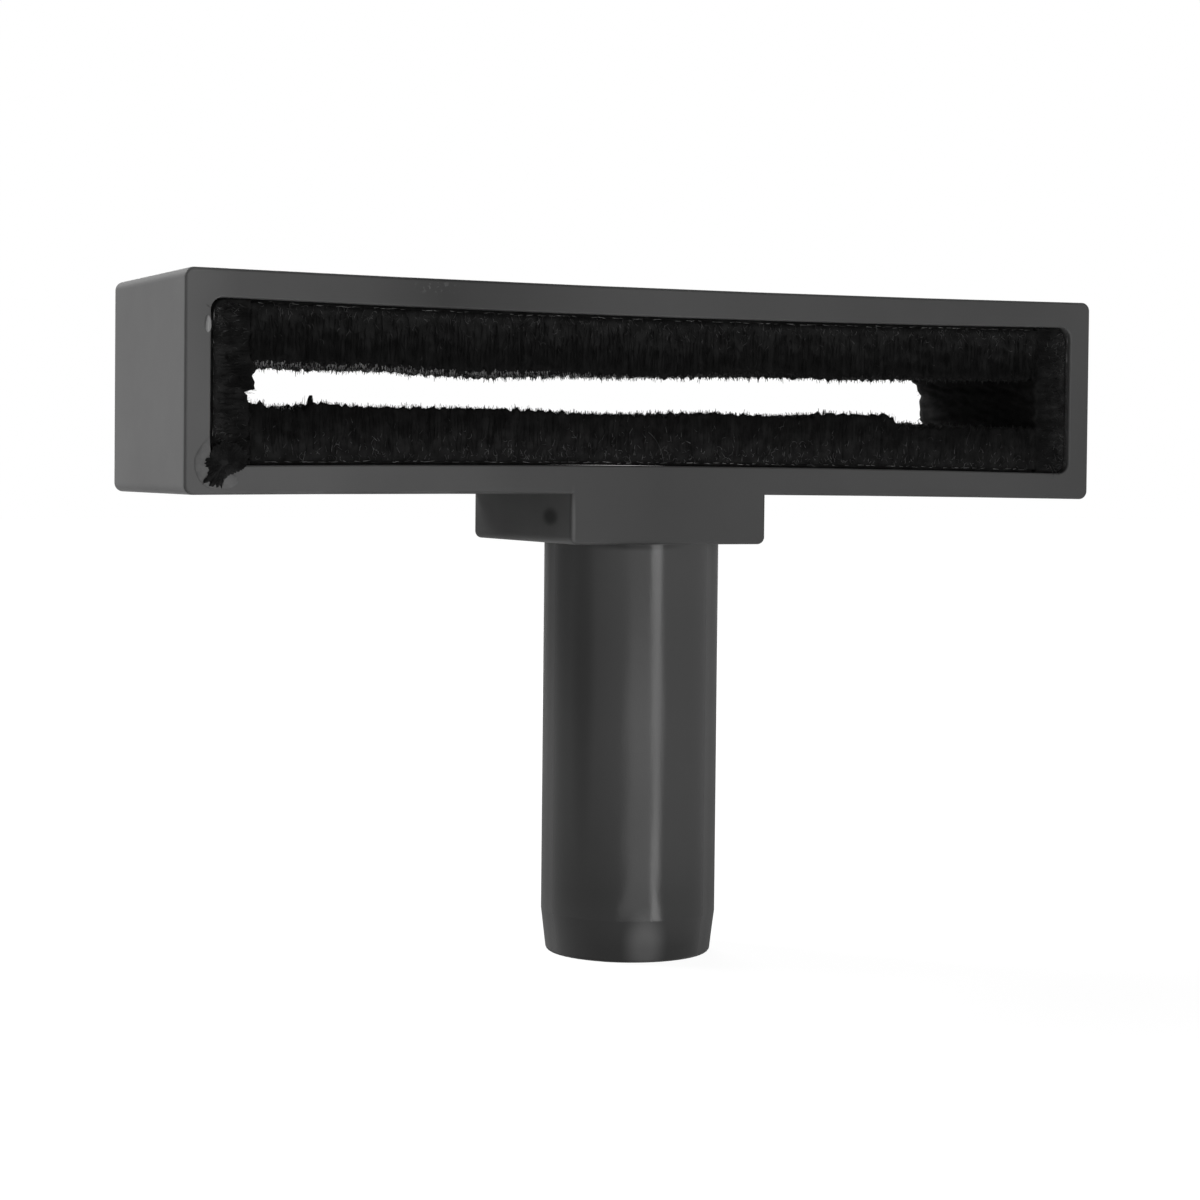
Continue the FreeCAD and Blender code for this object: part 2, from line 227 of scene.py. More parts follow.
# Roughness and shine of the plastic. On the tube they change from where it faces the eye to where it turns
# away: two values of facing, and the roughness or shine at each
RING_ROUGHNESS = 0.5
TUBE_ROUGHNESS = (0.4, 0.65, 0.12, 0.5)
SHELL_SHINE = 0.11
TUBE_SHINE = (0.5, 0.88, SHELL_SHINE, 0.02)
WEAR_PER_METRE = 160.0
WEAR_ROUGHNESS = 0.06
# Fine relief: its strength, and its depth in metres
GRAIN_PER_METRE = 3800.0
SHELL_RELIEF = (0.12, 0.0001)


def make_shell():
    """Dark grey moulded plastic: finely grained on the ring and block, and glossy on the tube, with painted
    light and shade on the front and sides and in spots.
    """
    material, tree, output = empty_material("plastic_painted_light")
    place = add_node(tree, "ShaderNodeTexCoord").outputs["Object"]
    split = add_node(tree, "ShaderNodeSeparateXYZ", {"Vector": place})
    clouds = noise(tree, place, CLOUDS_PER_METRE, detail=3.0)
    colour = mixed(tree, mapped(tree, clouds, *WIDE_SPAN), grey(SHELL_SHADE), grey(SHELL_COLOUR))
    on_tube = mapped(tree, split.outputs["Z"], *TUBE_END, 1.0, 0.0)
    on_front = mapped(tree, split.outputs["Y"], *FRONT_SKIN, 1.0, 0.0)
    painted_front_share = maths(tree, "MULTIPLY", on_front, maths(tree, "SUBTRACT", 1.0, on_tube))
    # painted light and shade along the front face, not on the tube
    low_painted_tone = tone_along(tree, split.outputs["X"], LOW_PAINTED_TONES)
    top_painted_tone = tone_along(tree, split.outputs["X"], TOP_PAINTED_TONES)
    front_painted_tone = mixed(tree, mapped(tree, split.outputs["Z"], *LOW_TO_TOP), low_painted_tone, top_painted_tone)
    tone = mixed(tree, painted_front_share, mapped(tree, split.outputs["X"], *SIDE_PAINTED_TONES), front_painted_tone)
    point, size, change = SCUFFS
    scratches = mapped(tree, noise(tree, place, SCUFFS_PER_METRE), *SCRATCH_SPAN)
    changes = [(on_tube, TUBE_TONE)]
    changes += [(maths(tree, "MULTIPLY", near_point(tree, place, point, size), scratches), change)]
    changes += [(near_point(tree, place, point, size), change) for point, size, change in MARK_AND_PAINTED_SPOTS]
    for share, change in changes:
        tone = maths(tree, "MULTIPLY", tone, maths(tree, "MULTIPLY_ADD", share, change, 1.0))
    facing = add_node(tree, "ShaderNodeLayerWeight", {"Blend": 0.5}).outputs["Facing"]
    plain = mixed(tree, on_tube, grey(RING_ROUGHNESS), mapped(tree, facing, *TUBE_ROUGHNESS))
    wear = noise(tree, place, WEAR_PER_METRE, detail=4.0)
    worn = maths(tree, "MULTIPLY_ADD", wear, WEAR_ROUGHNESS, -WEAR_ROUGHNESS / 2)
    matt_side = maths(tree, "MULTIPLY", near_point(tree, place, *BLOCK_SIDE), BLOCK_SIDE_SHARE)
    matt = maths(tree, "MAXIMUM", near_point(tree, place, *MOULD_MARK[:2]), matt_side)
    dull = maths(tree, "MULTIPLY_ADD", matt, MATT_ROUGHNESS, worn)
    roughness = maths(tree, "ADD", plain, dull, clamp=True)
    shine = mixed(tree, on_tube, grey(SHELL_SHINE), mapped(tree, facing, *TUBE_SHINE))
    finish_surface(tree, output, toned(tree, colour, tone), roughness, shine,
                   noise(tree, place, GRAIN_PER_METRE), *SHELL_RELIEF)
    return material


# A painted fade of the pile's light and shade: its axis, a middle and two distances from it in metres, and
# the tone at each distance
# painted shade: the pile darker at its tips by the slot, paler near the walls
SLOT_PAINTED_SHADE = ("Z", 0.1152, 0.0035, 0.012, 0.5, 1.2)
# painted shade: the side strips darker at their tips, paler near the walls
SIDE_PAINTED_SHADE = ("X", 0.0, 0.0864, 0.0935, 0.75, 2.0)
# painted light on the cut ends, strongest at the left and fading out towards the right
CUT_PAINTED_LIGHT_FADE = ("X", -0.088, 0.06, 0.11, 1.0, 0.1)
PILE_SHINE = 0.06
TUFTS_PER_METRE = 450.0
FIBRES_PER_METRE = 5200.0
PILE_RELIEF = (0.5, 0.0003)


def make_pile(name, dark, light, roughness, fade=SLOT_PAINTED_SHADE):
    """Matt fibre, with a shade that varies from tuft to tuft, and painted light and shade that change with
    the distance from a middle.
    """
    material, tree, output = empty_material(name)
    place = add_node(tree, "ShaderNodeTexCoord").outputs["Object"]
    tufts = noise(tree, place, TUFTS_PER_METRE, detail=4.0)
    colour = mixed(tree, mapped(tree, tufts, *TUFT_SPAN), grey(dark), grey(light))
    axis, middle, *span = fade
    reached = add_node(tree, "ShaderNodeSeparateXYZ", {"Vector": place}).outputs[axis]
    tone = mapped(tree, maths(tree, "ABSOLUTE", maths(tree, "SUBTRACT", reached, middle)), *span)
    finish_surface(tree, output, toned(tree, colour, tone), roughness, PILE_SHINE,
                   noise(tree, place, FIBRES_PER_METRE), *PILE_RELIEF)
    return material


GLUE_LUMPS_PER_METRE = 900.0
GLUE_ROUGHNESS = 0.45
GLUE_SHINE = 0.12
GLUE_RELIEF = (0.3, 0.0003)


def make_glue(name, dark, light):
    """Dried glue on the plastic: uneven and a little glossy."""
    material, tree, output = empty_material(name)
    place = add_node(tree, "ShaderNodeTexCoord").outputs["Object"]
    lumps = noise(tree, place, GLUE_LUMPS_PER_METRE, detail=3.0)
    colour = mixed(tree, mapped(tree, lumps, *WIDE_SPAN), grey(dark), grey(light))
    finish_surface(tree, output, colour, GLUE_ROUGHNESS, GLUE_SHINE, lumps, *GLUE_RELIEF)
    return material


# Meshes from arrays of points, in millimetres

def mesh_piece(name, points, faces, materials, choices=None):
    """A mesh object from points in millimetres and faces as rows of vertex numbers, all of one length."""
    mesh = bpy.data.meshes.new(name)
    sides = faces.shape[1]
    mesh.vertices.add(len(points))
    mesh.vertices.foreach_set("co", (points * MM).astype(np.float32).ravel())
    mesh.loops.add(faces.size)
    mesh.loops.foreach_set("vertex_index", faces.astype(np.int32).ravel())
    mesh.polygons.add(len(faces))
    mesh.polygons.foreach_set("loop_start", np.arange(0, faces.size, sides, dtype=np.int32))
    for material in materials:
        mesh.materials.append(material)
    if choices is not None:
        mesh.polygons.foreach_set("material_index", choices.astype(np.int32))
    mesh.polygons.foreach_set("use_smooth", np.ones(len(faces), dtype=bool))
    mesh.update(calc_edges=True)
    mesh.validate()
    piece = bpy.data.objects.new(name, mesh)
    bpy.context.scene.collection.objects.link(piece)
    return piece


FIBRE_SIDES = 3
# Radius of a fibre at its tip, as a share of that at its root
TIP_SHARE = 0.35
# A fibre that runs nearer to Y than this has its sides worked out from X
NEAR_Y = 0.8


def fibre_mesh(paths, radii):
    """Points and triangles of tapered fibres. paths is fibres x steps x 3, with one radius a fibre."""
    count, steps = paths.shape[:2]
    along = np.gradient(paths, axis=1)
    along /= np.linalg.norm(along, axis=2, keepdims=True) + 1e-9
    helper = np.where(np.abs(along[..., 1:2]) < NEAR_Y, [[[0.0, 1.0, 0.0]]], [[[1.0, 0.0, 0.0]]])
    across = np.cross(along, helper)
    across /= np.linalg.norm(across, axis=2, keepdims=True)
    upward = np.cross(along, across)
    taper = np.linspace(1.0, TIP_SHARE, steps)[None, :, None]
    rings = []
    for side in range(FIBRE_SIDES):
        angle = 2 * math.pi * side / FIBRE_SIDES
        offset = across * math.cos(angle) + upward * math.sin(angle)
        rings.append(paths + offset * radii[:, None, None] * taper)
    rings = np.stack(rings, axis=2)
    tips = paths[:, -1:] + along[:, -1:] * radii[:, None, None]
    points = np.concatenate([rings.reshape(count, -1, 3), tips], axis=1)
    each = steps * FIBRE_SIDES + 1
    faces = [(2, 1, 0)]
    for step in range(steps - 1):
        for side in range(FIBRE_SIDES):
            here = step * FIBRE_SIDES + side
            beside = step * FIBRE_SIDES + (side + 1) % FIBRE_SIDES
            faces.append((here, beside, beside + FIBRE_SIDES))
            faces.append((here, beside + FIBRE_SIDES, here + FIBRE_SIDES))
    last = (steps - 1) * FIBRE_SIDES
    for side in range(FIBRE_SIDES):
        faces.append((last + side, last + (side + 1) % FIBRE_SIDES, each - 1))
    faces = np.array(faces)[None] + (np.arange(count) * each)[:, None, None]
    return points.reshape(-1, 3), faces.reshape(-1, 3)


def joined(parts):
    """Several (points, triangles, material number) sets as one set of arrays."""
    points, faces, choices = [], [], []
    used = 0
    for part_points, part_faces, choice in parts:
        points.append(part_points)
        faces.append(part_faces + used)
        choices.append(np.full(len(part_faces), choice))
        used += len(part_points)
    return np.concatenate(points), np.concatenate(faces), np.concatenate(choices)


def ring_faces(count, around):
    """Vertex numbers of rings of points, one ring for each row, and the triangles between the rings."""
    number = np.arange(count * around).reshape(count, around)
    turned = np.roll(number, -1, axis=1)
    faces = [
        np.stack([number[:-1], turned[:-1], turned[1:]], axis=-1).reshape(-1, 3),
        np.stack([number[:-1], turned[1:], number[1:]], axis=-1).reshape(-1, 3),
    ]
    return number, turned, faces


def closed_bar(rings):
    """A closed surface over rings of points, one ring for each row, with flat ends."""
    count, around = rings.shape[:2]
    points = np.concatenate([rings.reshape(-1, 3), [rings[0].mean(axis=0), rings[-1].mean(axis=0)]])
    number, turned, faces = ring_faces(count, around)
    cap = np.full(around, count * around)
    faces = np.concatenate(faces + [
        np.stack([turned[0], number[0], cap], axis=-1),
        np.stack([number[-1], turned[-1], cap + 1], axis=-1),
    ])
    corners = points[faces]
    volume = (corners[:, 0] * np.cross(corners[:, 1], corners[:, 2])).sum()
    return points, faces if volume > 0 else faces[:, ::-1]


# The front face's place along Y
FRONT_FACE = -18.2
DOME_ROUNDS = 6


def dome(outline, middle, edge, rise):
    """A low cap on the front face, with a closed outline and a middle in (x, z).

    It stands out by edge at its outline, and by rise more in the middle.
    """
    count = len(outline)
    rings = []
    for share in np.cos(np.linspace(0, math.pi / 2, DOME_ROUNDS + 1))[:-1]:
        flat = middle + (outline - middle) * share
        height = edge + rise * math.sqrt(1 - share ** 2)
        rings.append(np.stack([flat[:, 0], np.full(count, FRONT_FACE - height), flat[:, 1]], axis=-1))
    points = np.concatenate(rings + [[[middle[0], FRONT_FACE - edge - rise, middle[1]]]])
    number, turned, faces = ring_faces(DOME_ROUNDS, count)
    cap = np.full(count, DOME_ROUNDS * count)
    faces = np.concatenate(faces + [np.stack([number[-1], turned[-1], cap], axis=-1)])
    corners = points[faces]
    facing = np.cross(corners[:, 1] - corners[:, 0], corners[:, 2] - corners[:, 0])[:, 1].sum()
    return points, faces if facing < 0 else faces[:, ::-1]


def smooth_outline(corners, count):
    """A closed outline of a number of points through corners, with its bends rounded off."""
    corners = np.array(corners)
    steps = np.linalg.norm(np.roll(corners, -1, axis=0) - corners, axis=1)
    reached = np.concatenate([[0], np.cumsum(steps)])
    spread = np.linspace(0, reached[-1], count, endpoint=False)
    closed = np.concatenate([corners, corners[:1]])
    flat = np.stack([np.interp(spread, reached, closed[:, axis]) for axis in range(2)], axis=-1)
    return (np.roll(flat, 1, axis=0) + 2 * flat + np.roll(flat, -1, axis=0)) / 4


# Brush strips. Along is the way a strip runs, out is from its wall to the tips, and depth is front to back

# The opening: half its length, how far its long sides draw in, and the corners that fibres keep out of
OPENING_HALF = 95.4
OPENING_BOW = 0.8
CORNER_RADIUS = 2.6
# The backing: its thickness, its distances from the pile's faces and ends, and the glue under it
BACKING_THICK = 1.0
BACKING_INSET = 1.1
BACKING_TRIM = 0.5
BACKING_RINGS = 30
GLUE_LAYER = 0.05
# The core: its foot above the wall, how far it stays inside the fibres, its lumps, and its length steps
CORE_BASE = 0.75
CORE_INSET = 0.45
CORE_SHORT = 0.6
CORE_SHORT_SIDE = 0.15
CORE_TRIM = 0.02
CORE_SWELL = 0.2
CORE_STEP = 0.6
# Steps of the core's section: up a face, across the tips and across the foot
RISE_STEPS = 12
TIP_STEPS = 28
FOOT_STEPS = 4
# Height of the ripples in the line of the tips, and the lean of the tufts that make them, in radians
RAGGED = 0.6
TUFT_LEAN = -0.43
# How far the fibre ends stand out of that line, how much of them is drawn, and where cut ends are painted
# pale, as painted light on the tips' undersides: from this far behind the front to this far before the back
STAND_OUT = 0.3
TIP_LENGTH = 2.6
PAINTED_LIGHT_DEPTHS = (3.0, 12.0)
# Lying fibres: the least length, the lowest root, how much deeper a root lies, and the spread at the ends
LEAST_LENGTH = 1.2
LOWEST_ROOT = 0.4
ROOT_DEPTH = 0.35
END_SPREAD = 0.25
# How far other fibres stay inside a strip's edges
EDGE_MARGIN = 0.1
# Loose fibres: how far in front of the pile they lie, the lowest point of any, and for curls and ticks the
# lowest middle, the distance below the tips and how far a tick lifts off
IN_FRONT = 0.05
LOWEST_LOOSE = 0.25
LOWEST_CURL = 0.9
CURL_BELOW_TIPS = 2.0
LOWEST_TICK = 1.0
TICK_BELOW_TIPS = 1.5
TICK_LIFT = 0.15
# Stiff ends along the wall: their distance, how far behind the front they start, and their forward lean
ROOT_STEP = 0.62
STIFF_DEPTH = 0.18
STIFF_LEAN = 0.1
# Threads: their distance, the share of them that shows, and their height above the wall
THREAD_STEP = 1.6
THREAD_SHARE = 0.75
THREAD_HEIGHT = 0.62
# Raised tufts: how far behind the front they stand and below the tips they start, and how much they close
RAISED_DEPTH = 1.2
RAISED_ROOT = 2.0
RAISED_CLOSING = 0.6

# Outlines of the tips as (along, tip) pairs in the frame: the front edge, then the back edge of each strip
TIP_EDGES = {
    "brush_top": (
        (
            (-88, 119.2), (-60, 119.0), (-40, 118.1), (-30, 118.7), (0, 117.9), (12, 119.1), (28, 119.6),
            (36, 118.4), (50, 119.4), (58, 119.1), (88, 119.2),
        ),
        (
            (-75, 119.5), (-60, 119.2), (-45, 119.5), (-35, 118.8), (-22, 118.4), (-10, 119.1), (7, 119.6),
            (30, 119.8), (45, 120.8), (57, 121.3), (66, 120.0), (75, 121.0), (88, 121.2),
        ),
    ),
    "brush_bottom": (
        (
            (-88, 111.3), (-86, 111.8), (-82, 110.3), (-77, 110.6), (-74, 111.9), (-70, 111.6),
            (-66, 111.2), (-40, 111.3), (-30, 111.2), (-16, 110.5), (-5, 110.5), (10, 111.3),
            (30, 110.6), (36, 111.6), (51.5, 111.5), (53.5, 109.3), (57, 108.9), (88, 109.4),
        ),
        ((-88, 111.0), (76, 111.0), (79, 109.4), (88, 109.3)),
    ),
    "brush_left": (
        (
            (99, -87.7), (110.9, -87.7), (111.3, -88.3), (113.3, -88.3), (113.8, -87.0), (118.6, -86.8),
            (119.2, -87.6), (131, -87.7),
        ),
        ((99, -87.6), (113.5, -87.6), (114.5, -86.6), (131, -86.4)),
    ),
    "brush_right": (
        ((99, 87.6), (131, 87.6)),
        (
            (99, 87.8), (109.5, 87.8), (110.5, 89.2), (113, 88.8), (117.6, 88.8), (119.2, 87.9),
            (120.6, 86.4), (121.3, 87.6), (131, 87.7),
        ),
    ),
}

# Tufts that stand above the others: where along the strip, the height of the point, lean and fibres
RAISED = {
    "brush_top": (),
    "brush_bottom": ((-75.3, 113.0, 0.4, 80), (-76.9, 112.9, 0.5, 2), (36.0, 112.3, 0.2, 14)),
    "brush_left": (),
    "brush_right": (),
}


class Strip:
    """Where one strip sits, from its CAD node's box, and how its own directions turn into the frame's."""

    def __init__(self, node, axis, sign):
        low, high = (np.array(corner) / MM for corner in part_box(node))
        self.node, self.axis, self.sign = node, axis, sign
        self.is_long = axis == 2
        self.run = 2 - axis
        self.wall = low[axis] if sign > 0 else high[axis]
        self.start, self.end = low[self.run], high[self.run]
        self.front, self.back = low[1], high[1]

    def place(self, along, out, depth):
        """Points in the frame from distances along, out from the wall, and depth."""
        along, out, depth = np.broadcast_arrays(along, out, depth)
        points = np.zeros(along.shape + (3,))
        points[..., self.run] = along
        points[..., self.axis] = self.wall + self.sign * out
        points[..., 1] = depth
        return points

    def wall_gap(self, along):
        """How far the bowed wall, or a round corner, keeps the strip off the side of its box."""
        if self.is_long:
            return OPENING_BOW * (self.end ** 2 - along ** 2) / OPENING_HALF ** 2
        edge = np.minimum(along - self.start, self.end - along)
        inside = np.clip(CORNER_RADIUS - edge, 0, CORNER_RADIUS)
        return CORNER_RADIUS - np.sqrt(CORNER_RADIUS ** 2 - inside ** 2)

    def reach(self, along, depth):
        """How far out the tips stand, between the outlines of the front and back edges."""
        front, back = (np.interp(along, *zip(*edge)) for edge in TIP_EDGES[self.node])
        share = np.clip((depth - self.front) / (self.back - self.front), 0, 1)
        return np.abs(front + (back - front) * share - self.wall)

    def scattered(self, rng, count, margin):
        """Random places along the strip, clear of its ends by a margin."""
        return rng.uniform(self.start + margin, self.end - margin, (count, 1))

    def uneven_row(self, rng, count, spread):
        """Places in a row between the opening's corners, each moved a little at random."""
        row = np.linspace(self.start + CORNER_RADIUS, self.end - CORNER_RADIUS, count)[:, None]
        return row + rng.normal(0, spread, row.shape)


def waves(rng, count, shortest, longest, lean=None):
    """Random ripples: a function of two distances, with values near -1 to 1.

    The ripples face all ways, or lean one way.
    """
    lengths = np.exp(rng.uniform(math.log(shortest), math.log(longest), count))
    turns = rng.uniform(0, 2 * math.pi, (count, 2))
    if lean is not None:
        turns[:, 0] = rng.normal(lean, 0.1, count)
    heights = lengths ** 0.5
    heights /= np.sqrt((heights ** 2).sum() / 2) * 2

    def ripple(first, second):
        total = np.zeros(np.broadcast(first, second).shape)
        for length, (turn, phase), height in zip(lengths, turns, heights):
            flat = first * math.cos(turn) + second * math.sin(turn)
            total += height * np.sin(2 * math.pi * flat / length + phase)
        return total

    return ripple


def between(first, last, count):
    """Even steps from one value to another, without the two values themselves."""
    return np.linspace(first, last, count + 2)[1:-1]


def backing(strip):
    """The woven band that holds the tufts, flat on the wall and a little narrower than the pile."""
    trim = BACKING_TRIM if strip.is_long else CORNER_RADIUS
    lengths = np.linspace(strip.start + trim, strip.end - trim, BACKING_RINGS)[:, None]
    front, back = strip.front + BACKING_INSET, strip.back - BACKING_INSET
    foot = strip.wall_gap(lengths) + GLUE_LAYER
    out = foot + np.array([[0.0, BACKING_THICK, BACKING_THICK, 0.0]])
    depth = np.array([[front, front, back, back]])
    return closed_bar(strip.place(lengths, out, depth))


def pile_core(strip, ragged, streaks):
    """The dense inside of a strip: a lumpy bar, a little smaller than the fibres' outline."""
    rings = int((strip.end - strip.start) / CORE_STEP)
    lengths = np.linspace(strip.start + CORE_TRIM, strip.end - CORE_TRIM, rings)
    front, back = strip.front + CORE_INSET, strip.back - CORE_INSET
    rise = np.linspace(0, 1, RISE_STEPS)
    shares = np.concatenate([rise, np.ones(TIP_STEPS), rise[::-1], np.zeros(FOOT_STEPS)])
    depths = np.concatenate([
        np.full(RISE_STEPS, front), between(front, back, TIP_STEPS),
        np.full(RISE_STEPS, back), between(back, front, FOOT_STEPS),
    ])
    along, share = np.meshgrid(lengths, shares, indexing="ij")
    depth = np.broadcast_to(depths, along.shape)
    foot = strip.wall_gap(along) + CORE_BASE
    short = CORE_SHORT if strip.is_long else CORE_SHORT_SIDE
    tip = strip.reach(along, depth) + STAND_OUT - short + RAGGED * ragged(along, depth)
    out = foot + (tip - foot) * share
    inward = (depth == front).astype(float) - (depth == back)
    return closed_bar(strip.place(along, out, depth + inward * CORE_SWELL * streaks(along, out)))


def steps_along(count, first=0.0, last=1.0):
    """Even steps along a fibre, as one row."""
    return np.linspace(first, last, count)[None]


def lying_fibres(strip, rng, ragged, count, at_back=False):
    """Fibres that show on the front or back face, lying from the wall towards the tips."""
    each = (count, 1)
    along = strip.scattered(rng, count, margin=0.05)
    lean = rng.normal(0, 0.5, each)
    bow = rng.normal(0, 0.35, each)
    sunk = rng.uniform(0.0, CORE_INSET + 0.15, each)
    shortfall = rng.exponential(0.7, each)
    start = rng.uniform(0.2, 0.7, each)
    deeper = rng.uniform(0.3, 1.0, each)
    face, inward = (strip.back, -1) if at_back else (strip.front, 1)
    tip = strip.reach(along, face) + RAGGED * ragged(along, np.full_like(along, face)) - shortfall
    root = np.minimum(start * tip, tip - LEAST_LENGTH)
    root = np.maximum(root, strip.wall_gap(along) + LOWEST_ROOT)
    steps = steps_along(4)
    path_along = along + lean * steps + bow * np.sin(steps * math.pi)
    path_along = np.clip(path_along, strip.start - END_SPREAD, strip.end + END_SPREAD)
    depth = face + inward * (sunk + ROOT_DEPTH * (1 - steps) * deeper)
    return strip.place(path_along, root + (tip - root) * steps, depth)


def tip_fibres(strip, rng, ragged, count):
    """Short fibre ends that stand out of the tips all over the strip's depth."""
    each = (count, 1)
    along = strip.scattered(rng, count, margin=EDGE_MARGIN)
    depth = rng.uniform(strip.front + EDGE_MARGIN, strip.back - EDGE_MARGIN, each)
    lean = rng.normal(0, 0.25, (count, 2, 1))
    shortfall = rng.exponential(0.14, each)
    tip = strip.reach(along, depth) + STAND_OUT + RAGGED * ragged(along, depth) - shortfall
    steps = steps_along(3)
    path_along = np.clip(along + lean[:, 0] * steps ** 2, strip.start, strip.end)
    path_depth = np.clip(depth + lean[:, 1] * steps ** 2, strip.front, strip.back)
    return strip.place(path_along, tip - TIP_LENGTH * (1 - steps), path_depth)


def curled_fibres(strip, rng, count):
    """Loose curls on the front face, mostly near the wall."""
    each = (count, 1)
    along = strip.scattered(rng, count, margin=1.0)
    height = rng.exponential(1.9, each)
    size = rng.uniform(0.3, 0.8, each)
    first = rng.uniform(0, 2 * math.pi, each)
    swing = rng.uniform(0.5, 2.5, each) * rng.choice([-1, 1], each)
    rise = rng.uniform(0.0, 0.3, each)
    foot = strip.wall_gap(along)
    out = np.minimum(foot + LOWEST_CURL + height, strip.reach(along, strip.front) - CURL_BELOW_TIPS)
    turn = steps_along(5)
    angle = first + swing * turn
    path_along = np.clip(along + size * np.cos(angle), strip.start + EDGE_MARGIN, strip.end - EDGE_MARGIN)
    path_out = np.maximum(out + size * np.sin(angle), foot + LOWEST_LOOSE)
    return strip.place(path_along, path_out, strip.front - IN_FRONT - rise * np.sin(turn * math.pi))


def root_fibres(strip, rng):
    """The row of short stiff ends where the tufts leave the backing, along the wall."""
    count = int((strip.end - strip.start - 2 * CORNER_RADIUS) / ROOT_STEP)
    along = strip.uneven_row(rng, count, spread=0.12)
    low = strip.wall_gap(along) + rng.uniform(0.25, 0.6, along.shape)
    length = rng.uniform(0.7, 1.7, along.shape)
    lean = rng.normal(0, 0.18, along.shape)
    steps = steps_along(3)
    depth = strip.front + STIFF_DEPTH - STIFF_LEAN * steps
    return strip.place(along + lean * steps, low + length * steps, depth)


def binder_threads(strip, rng):
    """Short lengths of the thread that binds the tufts, showing in a broken line along the wall."""
    count = int((strip.end - strip.start) / THREAD_STEP)
    along = strip.uneven_row(rng, count, spread=0.5)
    along = along[rng.random(count) < THREAD_SHARE]
    length = rng.uniform(0.5, 1.5, along.shape)
    height = rng.normal(THREAD_HEIGHT, 0.07, along.shape)
    slope = rng.normal(0, 0.1, along.shape)
    in_front = rng.uniform(0.0, 0.25, along.shape)
    steps = steps_along(3, -0.5, 0.5)
    out = strip.wall_gap(along) + height + slope * steps
    return strip.place(along + length * steps, out, strip.front - in_front)


def loose_ticks(strip, rng, count):
    """Short straight fibre ends on the front face, most of them near the wall, pale with dust and a painted
    highlight.
    """
    each = (count, 1)
    along = strip.scattered(rng, count, margin=1.0)
    height = rng.exponential(2.2, each)
    turn = rng.normal(math.pi / 2, 0.5, each)
    length = rng.uniform(0.4, 1.3, each)
    out = strip.wall_gap(along) + LOWEST_TICK + height
    out = np.minimum(out, strip.reach(along, strip.front) - TICK_BELOW_TIPS)
    steps = steps_along(3)
    path_along = along + length * np.cos(turn) * steps
    path_out = out + length * np.sin(turn) * steps
    return strip.place(path_along, path_out, strip.front - IN_FRONT - TICK_LIFT * steps)


def raised_tufts(strip, rng):
    """The tufts that stand above the front edge and close to a point."""
    steps = steps_along(4)
    closing = 1 - RAISED_CLOSING * steps
    depth = strip.front + RAISED_DEPTH
    paths = []
    for along, point, lean, count in RAISED[strip.node]:
        each = (count, 1)
        shortfall = rng.exponential(0.25, each)
        aside = rng.normal(0, 0.45, each)
        behind = rng.normal(0, 0.35, each)
        low = strip.reach(along, depth) - RAISED_ROOT
        high = abs(point - strip.wall) - shortfall
        path_along = along - lean * (1 - steps) + aside * closing
        paths.append(strip.place(path_along, low + (high - low) * steps, depth + behind * closing))
    return paths


def curve_through(points, count):
    """A smooth path of a number of steps through a few points, as one fibre."""
    knots = np.linspace(0, 1, len(points))
    spread = np.linspace(0, 1, count)
    curves = [np.polyval(np.polyfit(knots, axis, len(points) - 1), spread) for axis in zip(*points)]
    return np.stack(curves, axis=-1)[None]


# The tuft that has come over the rim at the opening's lower left corner, in (x, z)
SPILL = (
    (-95.2, 103.0), (-95.5, 101.4), (-96.0, 100.9), (-96.6, 99.9), (-95.9, 98.6), (-96.1, 97.3),
    (-97.0, 96.7), (-95.1, 95.6), (-93.3, 95.5), (-93.1, 96.5), (-92.0, 97.8), (-90.9, 98.1),
    (-90.0, 98.6), (-88.9, 98.7), (-88.6, 99.8), (-88.0, 101.2), (-89.5, 103.5), (-92.8, 104.2),
)
SPILL_MIDDLE = (-92.9, 100.0)
SPILL_POINTS = 160
SPILL_FIBRES = 320
# How far the pad stands out at its edge and how much more in the middle, and the same for its fibres
SPILL_PAD = (0.26, 0.7)
SPILL_TOP = (0.3, 0.75)


def spilled_tuft(rng):
    """The pad and the fibres of the tuft that lies over the rim."""
    middle = np.array(SPILL_MIDDLE)
    outline = smooth_outline(SPILL, SPILL_POINTS)
    ripple = waves(rng, count=10, shortest=0.35, longest=1.3)
    jagged = 0.98 + 0.1 * ripple(outline[:, 0], outline[:, 1])
    outline = middle + (outline - middle) * jagged[:, None]
    each = (SPILL_FIBRES, 1)
    ends = outline[rng.integers(0, len(outline), SPILL_FIBRES)]
    first = rng.uniform(0.15, 0.75, each)
    length = rng.uniform(0.2, 0.5, each)
    farthest = rng.uniform(0.85, 1.04, each)
    bow = rng.normal(0, 0.12, (SPILL_FIBRES, 1, 2))
    last = np.minimum(first + length, farthest)
    steps = steps_along(4)[..., None]
    share = first[:, None] + (last - first)[:, None] * steps
    flat = middle + (ends - middle)[:, None] * share + bow * np.sin(steps * math.pi)
    edge, rise = SPILL_TOP
    height = edge + rise * np.sqrt(np.clip(1 - share[..., 0] ** 2, 0, 1))
    paths = np.stack([flat[..., 0], FRONT_FACE - height, flat[..., 1]], axis=-1)
    return dome(outline, middle, *SPILL_PAD), paths


